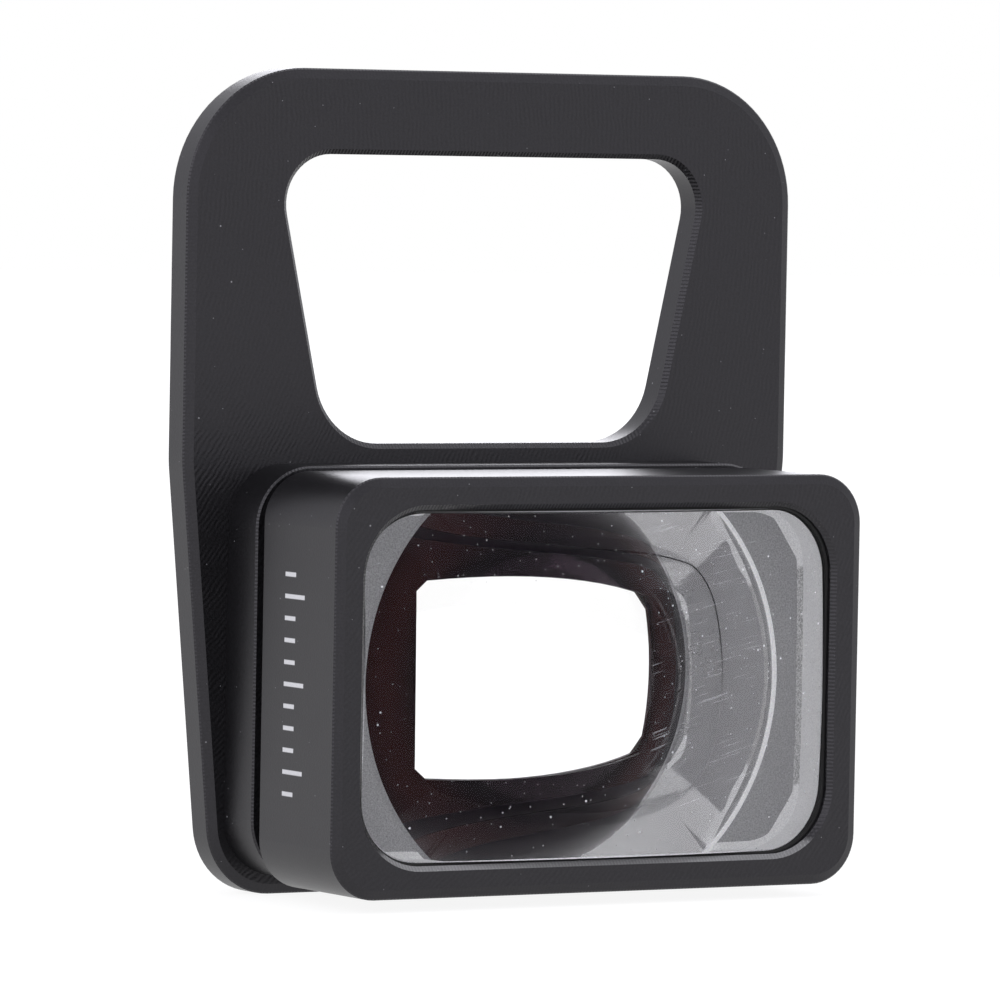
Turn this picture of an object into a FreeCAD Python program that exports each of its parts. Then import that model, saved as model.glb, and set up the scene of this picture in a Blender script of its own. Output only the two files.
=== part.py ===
import FreeCAD, Part
import math
import os

# Clip-on wide-angle conversion lens: a milled plate with an open upper window,
# and below it a square lens box that stands forward from a raised step.
# X runs across, Y from front to back, Z up. The lens looks towards -Y.

V = FreeCAD.Vector

# Lens box, which stands a little above the plate's foot
box_width = 31.05
box_height = 21.05
box_underside = 0.675
box_corner_radius = 2.55
box_chamfer = 0.25
rear_edge_break = 0.1

# Raised step of the plate that carries the box
step_inset = 0.05
step_lift = 0.24
step_depth = 2.95
step_corner_radius = 3.1

# Plate: its foot is a little wider than the box, and it widens up to the waist
plate_foot_margin = 0.475
plate_flare = 2.05
waist_above_box = 0.225
plate_thickness = 1.95
top_corner_radius = 6.7
waist_radius = 8.0
foot_corner_radius = 3.65
edge_chamfer = 0.26

# Upper window, wider at its top than at its sill
sill_land = 0.985
window_height = 14.75
top_bar_height = 4.35
side_bar_at_top = 5.15
side_bar_at_sill = 8.375
window_top_radius = 2.55
window_sill_radius = 3.65

# Shadow groove between step and box, closed at its floor by a rubber ring
groove_width = 0.8
groove_depth = 0.5
spigot_inset = 0.95
spigot_depth = 1.0
spigot_clearance = 0.05

# Front opening, which is also the pocket of the front glass, and the ledge behind the glass
front_bar_side = 1.75
front_bar_top = 1.625
opening_radius = 3.4
opening_chamfer = 0.25
glass_below_face = 0.5
ledge_side = 1.675
ledge_top = 1.2
ledge_radius = 3.0
ledge_thickness = 1.8

# Front glass: convex face, hollow back, ground sides, and a turned bevel left on its rear corners
bond_gap = 0.125
bond_depth = 1.6
rear_bevel_radius = 14.65
rear_bevel_depth = 1.0
glass_edge_thickness = 4.85
front_face_radius = 76.0
hollow_radius = 16.4
hollow_rim_radius = 11.6
seat_thickness = 0.15

# Rear bore of the box, and the light baffle pressed against the ledge by the rear cell
bore_wall_side = 1.925
bore_wall_top = 1.825
bore_radius = 6.1
insert_clearance = 0.1
baffle_thickness = 0.3
baffle_side = 4.75
baffle_top = 2.45
baffle_side_bow = 0.08
baffle_top_bow = 0.65
baffle_corner_cut = 0.65

# Rear glass, flat towards the baffle, and the cell that holds it
cell_shoulder = 1.7
cell_wall_side = 3.1
cell_wall_top = 1.5
cell_pocket_radius = 2.5
cell_lip_side = 0.25
cell_lip_top = 0.48
cell_lip_side_bow = 0.38
cell_lip_top_bow = 0.74
cell_lip_corner_cut = 1.2
cell_lip_thickness = 0.5
cell_boss_clearance = 0.1
rear_face_radius = 30.0
rear_lens_thickness = 3.1
rear_lens_clearance = 0.05
shim_thickness = 0.1
shim_width = 0.7

# Opening through the plate, and the wider socket that takes the camera's lens from behind
boss_wall_side = 1.8
boss_wall_top = 0.5
rear_opening_radius = 4.8
socket_step_side = 1.2
socket_step_top = 0.8
socket_corner_radius = 6.0
socket_floor_depth = 1.6
seal_thickness = 1.0
seal_clearance = 0.05

# Countersunk screws that hold the box on the plate
box_screw_edge = 2.625
box_screw_radius = 0.7
box_screw_hole_radius = 0.78
box_screw_head_radius = 1.1
box_screw_reach = 3.3
head_recess = 0.05
key_radius = 0.42
key_depth = 0.35
key_side_count = 6

# Locating rim behind the plate, with ears for its screws
rim_inset = 1.3
rim_wall = 0.9
rim_height = 2.0
ear_radius = 1.3
ear_bite = 0.3
ear_thickness = 0.8
ear_below_waist = 0.4
frame_screw_radius = 0.5
frame_screw_hole_radius = 0.56
frame_screw_head_radius = 0.9
frame_screw_head_height = 0.45
frame_screw_slot = 0.2
frame_screw_depth = 1.3
frame_screw_tip_gap = 0.05

# Leaf springs that grip the camera head at both sides of the window
clip_thickness = 0.2
clip_width = 6.0
clip_rim_gap = 0.1
clip_foot = 2.7
clip_reach = 3.6
clip_bow = 0.75
clip_bow_reach = 2.2
clip_bend_radius = 0.35

# Soft strips that meet the face of the camera head
cushion_thickness = 1.0
cushion_length = 17.0
upper_cushion_height = 1.3
middle_cushion_height = 1.6
cushion_corner_radius = 0.6
cushion_rim_gap = 0.4
cushion_sill_gap = 0.8

# Geometry tolerances for picking edges and telling a bend from a straight run
plane_tolerance = 1e-5
turn_tolerance = 1e-9


# Widths and heights worked out from the sizes above
axis_height = box_underside + box_height / 2
step_width = box_width - 2 * step_inset
step_height = box_height - 2 * step_inset
plate_foot_width = box_width + 2 * plate_foot_margin
plate_width = plate_foot_width + 2 * plate_flare
waist_height = box_underside + box_height + waist_above_box
window_sill = axis_height + step_lift + step_height / 2 + sill_land
window_head = window_sill + window_height
plate_height = window_head + top_bar_height
window_top_width = plate_width - 2 * side_bar_at_top
window_sill_width = plate_width - 2 * side_bar_at_sill
opening_width = box_width - 2 * front_bar_side
opening_height = box_height - 2 * front_bar_top
ledge_width = opening_width - 2 * ledge_side
ledge_height = opening_height - 2 * ledge_top
bore_width = box_width - 2 * bore_wall_side
bore_height = box_height - 2 * bore_wall_top
baffle_aperture_width = bore_width - 2 * baffle_side
baffle_aperture_height = bore_height - 2 * baffle_top
cell_pocket_width = bore_width - 2 * cell_wall_side
cell_pocket_height = bore_height - 2 * cell_wall_top
cell_lip_opening_width = cell_pocket_width - 2 * cell_lip_side
cell_lip_opening_height = cell_pocket_height - 2 * cell_lip_top
rear_opening_width = cell_pocket_width + 2 * boss_wall_side
rear_opening_height = cell_pocket_height + 2 * boss_wall_top
socket_width = rear_opening_width + 2 * socket_step_side
socket_height = rear_opening_height + 2 * socket_step_top
rim_inner_inset = rim_inset + rim_wall
ear_inset = rim_inner_inset + ear_radius - ear_bite
clip_leg_x = plate_width / 2 - rim_inner_inset - clip_rim_gap - clip_thickness / 2
clip_height = window_sill + window_height / 2
upper_cushion_z = plate_height - rim_inner_inset - cushion_rim_gap - upper_cushion_height / 2
middle_cushion_z = window_sill - cushion_sill_gap - middle_cushion_height / 2

# Places from front to back, worked out from the sizes above
stack_depth = glass_edge_thickness + seat_thickness + ledge_thickness + baffle_thickness + cell_shoulder
box_reach = glass_below_face + stack_depth - spigot_depth + step_depth
glass_vertex_rise = front_face_radius - math.sqrt(front_face_radius**2 - (opening_width / 2 - bond_gap)**2)
front_reach = box_reach + max(0.0, glass_vertex_rise - glass_below_face)
rear_reach = plate_thickness + max(clip_reach, rim_height)
plate_front = (front_reach - rear_reach) / 2
plate_rear = plate_front + plate_thickness
box_front = plate_front - box_reach
step_front = plate_front - step_depth
box_rear = step_front - groove_width
spigot_end = step_front + spigot_depth
glass_front = box_front + glass_below_face
glass_land = glass_front + glass_edge_thickness
ledge_front = glass_land + seat_thickness
ledge_rear = ledge_front + ledge_thickness
baffle_rear = ledge_rear + baffle_thickness
rear_glass_front = baffle_rear + shim_thickness
rear_glass_vertex = rear_glass_front + rear_lens_thickness
socket_floor = plate_rear - socket_floor_depth


def point(x, z, y):
    return V(x, y, z)


def outline_wire(points, radii):
    """Closed flat outline of straight sides, with a rounded corner at each point."""
    bends = []
    for i, corner in enumerate(points):
        towards = (points[i - 1] - corner).normalize()
        onwards = (points[(i + 1) % len(points)] - corner).normalize()
        half = towards.getAngle(onwards) / 2
        run = radii[i] / math.tan(half)
        middle = (towards + onwards).normalize()
        apex = corner + middle * (radii[i] / math.sin(half) - radii[i])
        bends.append((corner + towards * run, apex, corner + onwards * run))
    edges = []
    for i, (start, apex, end) in enumerate(bends):
        if radii[i] > 0:
            edges.append(Part.Arc(start, apex, end).toShape())
        edges.append(Part.LineSegment(end, bends[(i + 1) % len(bends)][0]).toShape())
    return Part.Wire(edges)


def prism(corners, y0, y1, radii=None):
    """Bar along Y whose section is given by corners in X and Z, sharp or with a radius for each."""
    outline = outline_wire([point(x, z, y0) for x, z in corners], radii or [0 for _ in corners])
    return Part.Face(outline).extrude(V(0, y1 - y0, 0))


def rectangle(width, height, centre_z, centre_x=0.0):
    x = width / 2
    z = height / 2
    return [(centre_x + sx * x, centre_z + sz * z) for sx, sz in ((-1, -1), (1, -1), (1, 1), (-1, 1))]


def block(width, height, radius, y0, y1, centre_z=axis_height):
    """Rounded rectangular bar along Y."""
    corners = rectangle(width, height, centre_z)
    return prism(corners, y0, y1, [radius for _ in corners])


def barrel(width, height, side_bow, top_bow, corner_cut, y0, y1):
    """Bar along Y on the optical axis: its four sides bow outwards and its corners are cut at 45 degrees."""
    side_x = width / 2 - side_bow
    top_z = height / 2 - top_bow
    side_z = top_z - corner_cut
    top_x = side_x - corner_cut
    sides = [[(side_x, -side_z), (width / 2, 0), (side_x, side_z)],
             [(top_x, top_z), (0, height / 2), (-top_x, top_z)],
             [(-side_x, side_z), (-width / 2, 0), (-side_x, -side_z)],
             [(-top_x, -top_z), (0, -height / 2), (top_x, -top_z)]]
    arcs = [[point(x, axis_height + z, y0) for x, z in side] for side in sides]
    edges = []
    for i, (start, middle, end) in enumerate(arcs):
        edges.append(Part.Arc(start, middle, end).toShape())
        edges.append(Part.LineSegment(end, arcs[(i + 1) % len(arcs)][0]).toShape())
    return Part.Face(Part.Wire(edges)).extrude(V(0, y1 - y0, 0))


def inset(corners, distance):
    """The outline moved inwards by a distance, for corners given anticlockwise."""
    moved = []
    for i, (x, z) in enumerate(corners):
        before = corners[i - 1]
        after = corners[(i + 1) % len(corners)]
        a = V(x - before[0], z - before[1], 0).normalize()
        b = V(after[0] - x, after[1] - z, 0).normalize()
        na = V(-a.y, a.x, 0)
        nb = V(-b.y, b.x, 0)
        step = (na + nb) * (distance / (1 + na.dot(nb)))
        moved.append((x + step.x, z + step.y))
    return moved


def edges_in_plane(shape, y, within=None):
    """Edges that lie in the plane y, and inside a half width if one is given."""
    found = []
    for edge in shape.Edges:
        box = edge.BoundBox
        if abs(box.YMin - y) < plane_tolerance and abs(box.YMax - y) < plane_tolerance:
            if within is None or max(abs(box.XMin), abs(box.XMax)) < within:
                found.append(edge)
    return found


def chamfer(shape, size, planes, within=None):
    edges = []
    for y in planes:
        edges += edges_in_plane(shape, y, within)
    return shape.makeChamfer(size, edges)


def rod(x, z, radius, y0, y1):
    return Part.makeCylinder(radius, y1 - y0, point(x, z, y0), V(0, 1, 0))


def cone(x, z, radius0, radius1, y0, y1):
    return Part.makeCone(radius0, radius1, y1 - y0, point(x, z, y0), V(0, 1, 0))


def plate_outline():
    foot = plate_foot_width / 2
    side = plate_width / 2
    return [(-foot, 0), (foot, 0), (side, waist_height), (side, plate_height),
            (-side, plate_height), (-side, waist_height)]


def plate_radii(distance=0):
    """Corner radii of the plate's outline, moved inwards by a distance."""
    foot = foot_corner_radius - distance
    top = top_corner_radius - distance
    return [foot, foot, waist_radius, top, top, waist_radius]


def window_outline():
    sill = window_sill_width / 2
    top = window_top_width / 2
    return [(-sill, window_sill), (sill, window_sill), (top, window_head), (-top, window_head)]


def box_screw_places():
    x = box_width / 2 - box_screw_edge
    z = box_height / 2 - box_screw_edge
    return [(sx * x, axis_height + sz * z) for sx in (-1, 1) for sz in (-1, 1)]


def frame_screw_places():
    """One ear in each upper corner of the rim, and one at each side just below the waist."""
    corner_run = (top_corner_radius - ear_inset) * math.sqrt(0.5) - top_corner_radius
    side_z = waist_height - ear_below_waist
    side_x = plate_foot_width / 2 + plate_flare * side_z / waist_height - ear_inset
    rows = [(plate_width / 2 + corner_run, plate_height + corner_run), (side_x, side_z)]
    return [(side * x, z) for side in (-1, 1) for x, z in rows]


def countersunk(x, z, face, tip, shank, head):
    """Screw or hole along Y: a flat 90 degree head in the plane face, and the tip forward of it."""
    depth = head - shank
    top = cone(x, z, shank, head, face - depth, face)
    return rod(x, z, shank, tip, face).fuse(top).removeSplitter()


def mount_plate():
    """Milled plate: window, raised step with the box's seat, opening and socket for the lower camera."""
    plate = prism(plate_outline(), plate_front, plate_rear, plate_radii())
    plate = chamfer(plate, edge_chamfer, [plate_front, plate_rear])
    radii = [window_sill_radius, window_sill_radius, window_top_radius, window_top_radius]
    plate = plate.cut(prism(window_outline(), plate_front, plate_rear, radii))
    plate = chamfer(plate, edge_chamfer, [plate_front, plate_rear], window_top_width / 2 + edge_chamfer)

    step_z = axis_height + step_lift
    step = block(step_width, step_height, step_corner_radius, step_front, plate_front, step_z)
    step = chamfer(step, rear_edge_break, [step_front])
    plate = plate.fuse(step)

    inset_size = 2 * (spigot_inset - spigot_clearance)
    spigot_seat = block(box_width - inset_size, box_height - inset_size,
                        box_corner_radius - spigot_inset + spigot_clearance, step_front, spigot_end)
    opening = block(rear_opening_width, rear_opening_height, rear_opening_radius, step_front, plate_rear)
    lens_socket = block(socket_width, socket_height, socket_corner_radius, socket_floor, plate_rear)
    plate = plate.cut(spigot_seat.fuse([opening, lens_socket]))

    for x, z in box_screw_places():
        hole = countersunk(x, z, plate_rear, step_front, box_screw_hole_radius,
                           box_screw_head_radius + box_screw_hole_radius - box_screw_radius)
        plate = plate.cut(hole)
    for x, z in frame_screw_places() + clip_screw_places():
        plate = plate.cut(rod(x, z, frame_screw_radius, plate_rear - frame_screw_depth, plate_rear))
    return plate.removeSplitter()


def lens_housing():
    """Milled box: front pocket for the glass, a ledge behind it, and the bore for the inner pieces."""
    body = block(box_width, box_height, box_corner_radius, box_front, box_rear)
    body = chamfer(body, box_chamfer, [box_front])
    body = chamfer(body, rear_edge_break, [box_rear])
    spigot = block(box_width - 2 * spigot_inset, box_height - 2 * spigot_inset,
                   box_corner_radius - spigot_inset, box_rear, spigot_end)
    body = body.fuse(spigot)

    pocket = block(opening_width, opening_height, opening_radius, box_front, ledge_front)
    ledge = block(ledge_width, ledge_height, ledge_radius, ledge_front, ledge_rear)
    bore = block(bore_width, bore_height, bore_radius, ledge_rear, spigot_end)
    body = body.cut(pocket).cut(ledge).cut(bore)
    body = chamfer(body, opening_chamfer, [box_front], opening_width / 2 + opening_chamfer / 2)

    tip = spigot_end - box_screw_reach
    for x, z in box_screw_places():
        body = body.cut(rod(x, z, box_screw_radius, tip, spigot_end))
    return body.removeSplitter()


def ball(radius, vertex, direction):
    """Sphere that touches the plane vertex on the optical axis, with its centre towards direction."""
    return Part.makeSphere(radius, point(0, axis_height, vertex + direction * radius))


def glass_block(y0, y1):
    """Rounded rectangular bar that fits the front opening, less the gap of the sealing bead."""
    return block(opening_width - 2 * bond_gap, opening_height - 2 * bond_gap,
                 opening_radius - bond_gap, y0, y1)


def front_lens():
    """Thick glass: faintly convex front, round hollow in the back, sides ground square."""
    vertex = glass_front - glass_vertex_rise
    bevel_front = glass_land - rear_bevel_depth
    blank_radius = rear_bevel_radius + rear_bevel_depth
    round_blank = rod(0, axis_height, blank_radius, vertex, bevel_front)
    bevel = cone(0, axis_height, blank_radius, rear_bevel_radius, bevel_front, glass_land)
    blank = glass_block(vertex, glass_land).common(round_blank.fuse(bevel))
    blank = blank.common(ball(front_face_radius, vertex, 1))
    rim_sag = hollow_radius - math.sqrt(hollow_radius**2 - hollow_rim_radius**2)
    return blank.cut(ball(hollow_radius, glass_land - rim_sag, 1))


def front_bond():
    """Sealing bead in the gap round the glass, just below its front edge."""
    y1 = glass_front + bond_depth
    ring = block(opening_width, opening_height, opening_radius, glass_front, y1)
    return ring.cut(glass_block(glass_front, y1))


def front_lens_seat():
    seat = block(opening_width - 2 * insert_clearance, opening_height - 2 * insert_clearance,
                 opening_radius - insert_clearance, glass_land, ledge_front)
    return seat.cut(block(ledge_width, ledge_height, ledge_radius, glass_land, ledge_front))


def bore_block(y0, y1):
    """Bar that drops into the rear bore of the box."""
    return block(bore_width - 2 * insert_clearance, bore_height - 2 * insert_clearance,
                 bore_radius - insert_clearance, y0, y1)


def light_baffle():
    """Thin mask whose opening has the barrel shape that the wide field takes behind the hollow."""
    aperture = barrel(baffle_aperture_width, baffle_aperture_height, baffle_side_bow, baffle_top_bow,
                      baffle_corner_cut, ledge_rear, baffle_rear)
    return bore_block(ledge_rear, baffle_rear).cut(aperture)


def lip_front():
    """Front of the cell's lip, just behind the curved glass where it passes the lip."""
    drop = rear_face_radius - math.sqrt(rear_face_radius**2 - (cell_lip_opening_height / 2)**2)
    return rear_glass_vertex - drop + rear_lens_clearance


def rear_cell():
    """Frame behind the baffle: its shoulder is pressed by the plate, its lip holds the glass."""
    rear = lip_front() + cell_lip_thickness
    gap = 2 * cell_boss_clearance
    boss = block(rear_opening_width - gap, rear_opening_height - gap,
                 rear_opening_radius - cell_boss_clearance, baffle_rear, rear)
    cell = bore_block(baffle_rear, spigot_end).fuse(boss)
    cell = cell.cut(block(cell_pocket_width, cell_pocket_height, cell_pocket_radius,
                          baffle_rear, lip_front()))
    return cell.cut(barrel(cell_lip_opening_width, cell_lip_opening_height, cell_lip_side_bow,
                           cell_lip_top_bow, cell_lip_corner_cut, baffle_rear, max(rear, spigot_end)))


def rear_glass_block(y0, y1):
    gap = 2 * rear_lens_clearance
    return block(cell_pocket_width - gap, cell_pocket_height - gap,
                 cell_pocket_radius - rear_lens_clearance, y0, y1)


def rear_lens():
    """Rectangular glass with a flat front and a convex back."""
    return rear_glass_block(rear_glass_front, rear_glass_vertex).common(
        ball(rear_face_radius, rear_glass_vertex, -1))


def rear_lens_shim():
    """Thin ring between the baffle and the rear glass."""
    frame = rear_glass_block(baffle_rear, rear_glass_front)
    return frame.cut(block(cell_pocket_width - 2 * shim_width, cell_pocket_height - 2 * shim_width,
                           cell_pocket_radius - shim_width, baffle_rear, rear_glass_front))


def groove_gasket():
    """Rubber ring round the spigot, at the floor of the shadow groove."""
    ring = block(box_width - 2 * groove_depth, box_height - 2 * groove_depth,
                 box_corner_radius - groove_depth, box_rear, step_front)
    return ring.cut(block(box_width - 2 * spigot_inset, box_height - 2 * spigot_inset,
                          box_corner_radius - spigot_inset, box_rear, step_front))


def rear_light_seal():
    """Soft ring at the floor of the rear socket, which meets the camera's lens."""
    y1 = socket_floor + seal_thickness
    gap = 2 * seal_clearance
    ring = block(socket_width - gap, socket_height - gap, socket_corner_radius - seal_clearance,
                 socket_floor, y1)
    return ring.cut(block(rear_opening_width, rear_opening_height, rear_opening_radius, socket_floor, y1))


def screw(x, z, face, tip, shank, head):
    """Countersunk screw with a six-sided key hole."""
    body = countersunk(x, z, face, tip, shank, head)
    ring = [math.tau * i / key_side_count for i in range(key_side_count)]
    corners = [(x + key_radius * math.cos(a), z + key_radius * math.sin(a)) for a in ring]
    return body.cut(prism(corners, face - key_depth, face))


def box_screws():
    face = plate_rear - head_recess
    tip = spigot_end - box_screw_reach + head_recess
    return Part.Compound([screw(x, z, face, tip, box_screw_radius, box_screw_head_radius)
                          for x, z in box_screw_places()])


def rear_frame():
    """Low rim that finds the outline of the camera head, with ears inside it for its screws."""
    outer = prism(inset(plate_outline(), rim_inset), plate_rear, plate_rear + rim_height,
                  plate_radii(rim_inset))
    core = prism(inset(plate_outline(), rim_inner_inset), plate_rear, plate_rear + rim_height,
                 plate_radii(rim_inner_inset))
    ear_rear = plate_rear + ear_thickness
    ears = [rod(x, z, ear_radius, plate_rear, ear_rear) for x, z in frame_screw_places()]
    frame = outer.cut(core).fuse(ears)
    for x, z in frame_screw_places():
        frame = frame.cut(rod(x, z, frame_screw_hole_radius, plate_rear, ear_rear))
    return frame.removeSplitter()


def slotted_screw(x, z, seat):
    """Small screw with a flat round head that stands on the plane seat."""
    tip = plate_rear - frame_screw_depth + frame_screw_tip_gap
    top = seat + frame_screw_head_height
    body = rod(x, z, frame_screw_radius, tip, seat).fuse(rod(x, z, frame_screw_head_radius, seat, top))
    slot = prism(rectangle(2 * frame_screw_head_radius, frame_screw_slot, z, x), top - frame_screw_slot, top)
    return body.removeSplitter().cut(slot)


def rear_frame_screws():
    """Screws through the ears of the rim."""
    seat = plate_rear + ear_thickness
    return Part.Compound([slotted_screw(x, z, seat) for x, z in frame_screw_places()])


def clip_screw_places():
    """Middle of each spring's flat foot, clear of its bend."""
    x = clip_leg_x - clip_foot / 2 - clip_thickness
    return [(side * x, clip_height) for side in (-1, 1)]


def clip_path():
    """Middle line of the right spring seen along Z: foot on the plate, leg to the back, bowed inwards."""
    foot_y = plate_rear + clip_thickness / 2
    return [(clip_leg_x - clip_foot, foot_y), (clip_leg_x, foot_y),
            (clip_leg_x - clip_bow, plate_rear + clip_bow_reach), (clip_leg_x, plate_rear + clip_reach)]


def ribbon(path, thickness, radius, z0, z1):
    """Sheet-metal strip along a path in X and Y, with rounded bends, standing from z0 to z1."""
    half = thickness / 2
    directions = [V(b[0] - a[0], b[1] - a[1], 0).normalize() for a, b in zip(path, path[1:])]
    normals = [V(-d.y, d.x, 0) for d in directions]
    near, far, near_radii, far_radii = [], [], [], []
    for i, (x, y) in enumerate(path):
        before = normals[max(i - 1, 0)]
        after = normals[min(i, len(normals) - 1)]
        shift = (before + after) * (half / (1 + before.dot(after)))
        near.append(V(x, y, z0) + shift)
        far.append(V(x, y, z0) - shift)
        turn = before.cross(after).z
        bend = 0 if abs(turn) < turn_tolerance else radius
        near_radii.append(bend and bend - math.copysign(half, turn))
        far_radii.append(bend and bend + math.copysign(half, turn))
    outline = outline_wire(far + near[::-1], far_radii + near_radii[::-1])
    return Part.Face(outline).extrude(V(0, 0, z1 - z0))


def spring_clip(side):
    """Leaf spring on the right, or its mirror image on the left."""
    z0 = clip_height - clip_width / 2
    clip = ribbon(clip_path(), clip_thickness, clip_bend_radius, z0, z0 + clip_width)
    if side < 0:
        clip = clip.mirror(V(0, 0, 0), V(1, 0, 0))
    for x, z in clip_screw_places():
        clip = clip.cut(rod(x, z, frame_screw_hole_radius, plate_rear, plate_rear + clip_thickness))
    return clip


def clip_screws():
    """Low slotted screws through the feet of the springs."""
    seat = plate_rear + clip_thickness
    return Part.Compound([slotted_screw(x, z, seat) for x, z in clip_screw_places()])


def cushion(height, centre_z):
    return block(cushion_length, height, cushion_corner_radius, plate_rear,
                 plate_rear + cushion_thickness, centre_z)


def main():
    nodes = {
        "mount_plate": mount_plate(),
        "lens_housing": lens_housing(),
        "front_lens": front_lens(),
        "front_bond": front_bond(),
        "front_lens_seat": front_lens_seat(),
        "light_baffle": light_baffle(),
        "rear_lens_shim": rear_lens_shim(),
        "rear_lens": rear_lens(),
        "rear_cell": rear_cell(),
        "groove_gasket": groove_gasket(),
        "rear_light_seal": rear_light_seal(),
        "box_screws": box_screws(),
        "rear_frame": rear_frame(),
        "rear_frame_screws": rear_frame_screws(),
        "left_spring_clip": spring_clip(-1),
        "right_spring_clip": spring_clip(1),
        "clip_screws": clip_screws(),
        "upper_cushion": cushion(upper_cushion_height, upper_cushion_z),
        "middle_cushion": cushion(middle_cushion_height, middle_cushion_z),
    }
    os.makedirs("parts", exist_ok=True)
    for name, shape in nodes.items():
        shape.exportStep("parts/" + name + ".step")
        box = shape.BoundBox
        print(name, len(shape.Solids), shape.isValid(), "volume", round(shape.Volume, 2),
              "x %.2f..%.2f y %.2f..%.2f z %.2f..%.2f" % (box.XMin, box.XMax, box.YMin, box.YMax, box.ZMin,
                                                        box.ZMax))


main()
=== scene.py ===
import math
import bmesh
import bpy
from mathutils import Matrix, Vector


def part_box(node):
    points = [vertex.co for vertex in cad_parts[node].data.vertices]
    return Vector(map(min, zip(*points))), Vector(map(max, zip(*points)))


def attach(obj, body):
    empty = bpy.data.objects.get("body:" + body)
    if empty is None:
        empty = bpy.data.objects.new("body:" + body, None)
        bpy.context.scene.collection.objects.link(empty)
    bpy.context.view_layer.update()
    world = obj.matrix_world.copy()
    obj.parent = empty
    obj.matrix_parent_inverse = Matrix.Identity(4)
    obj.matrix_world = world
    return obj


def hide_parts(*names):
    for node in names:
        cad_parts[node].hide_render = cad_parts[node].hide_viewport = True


# Clip-on wide-angle conversion lens: finishes, fine glass meshes and studio round the fixed frame.
# Lengths are in millimetres, and become metres where a mesh, a bump or the camera's place is made.
MM = 0.001
TAU = math.tau
X, Y, Z = range(3)

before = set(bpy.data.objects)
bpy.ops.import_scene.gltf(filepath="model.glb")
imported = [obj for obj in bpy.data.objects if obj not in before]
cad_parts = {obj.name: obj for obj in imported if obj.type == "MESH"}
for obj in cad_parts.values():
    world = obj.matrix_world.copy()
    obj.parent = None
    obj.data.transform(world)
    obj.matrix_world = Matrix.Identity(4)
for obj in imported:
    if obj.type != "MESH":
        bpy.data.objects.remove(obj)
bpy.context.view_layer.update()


def extent(node):
    """Lowest and highest corner of a node, in millimetres."""
    return [Vector(corner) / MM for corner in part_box(node)]


# Places read from the frame, with Y going from the front of the object to its back
house_low, house_high = extent("lens_housing")
AXIS_Z = (house_low.z + house_high.z) / 2
GROOVE_Y = extent("groove_gasket")[0].y
SEAT_Y = extent("front_lens_seat")[0].y
FRONT_VERTEX_Y = extent("front_lens")[0].y
REAR_FLAT_Y, REAR_VERTEX_Y = [corner.y for corner in extent("rear_lens")]


# Shader maths as plain expressions
class Value:
    """What a node gives. A number adds, takes away and multiplies as in plain arithmetic."""

    def __init__(self, finish, socket):
        self.finish = finish
        self.socket = socket

    def maths(self, operation, *terms):
        return self.finish.node("Math", {"operation": operation}, dict(enumerate(terms)))

    def __add__(self, other):
        return self.maths("ADD", self, other)

    def __radd__(self, other):
        return self.maths("ADD", other, self)

    def __sub__(self, other):
        return self.maths("SUBTRACT", self, other)

    def __rsub__(self, other):
        return self.maths("SUBTRACT", other, self)

    def __mul__(self, other):
        return self.maths("MULTIPLY", self, other)

    def __rmul__(self, other):
        return self.maths("MULTIPLY", other, self)

    def __pow__(self, other):
        return self.maths("POWER", self, other)

    def size(self):
        return self.maths("ABSOLUTE", self)

    def root(self):
        return self.maths("SQRT", self)

    def sine(self):
        return self.maths("SINE", self)

    def highest(self, other):
        return self.maths("MAXIMUM", self, other)

    def lowest(self, other):
        return self.maths("MINIMUM", self, other)

    def from_whole(self):
        """Distance from the nearest whole number."""
        return self.maths("PINGPONG", self, 0.5)

    def rise(self, low, high, bottom=0.0, top=1.0):
        """Goes smoothly from bottom to top as the value goes from low to high."""
        return self.finish.node("MapRange", {"interpolation_type": "SMOOTHSTEP"},
                                {"Value": self, "From Min": low, "From Max": high,
                                 "To Min": bottom, "To Max": top})

    def within(self, low, high, fade):
        """1 from low to high, and smoothly down to 0 over the distance fade on either side."""
        return self.rise(low - fade, low) * self.rise(high + fade, high)


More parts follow.
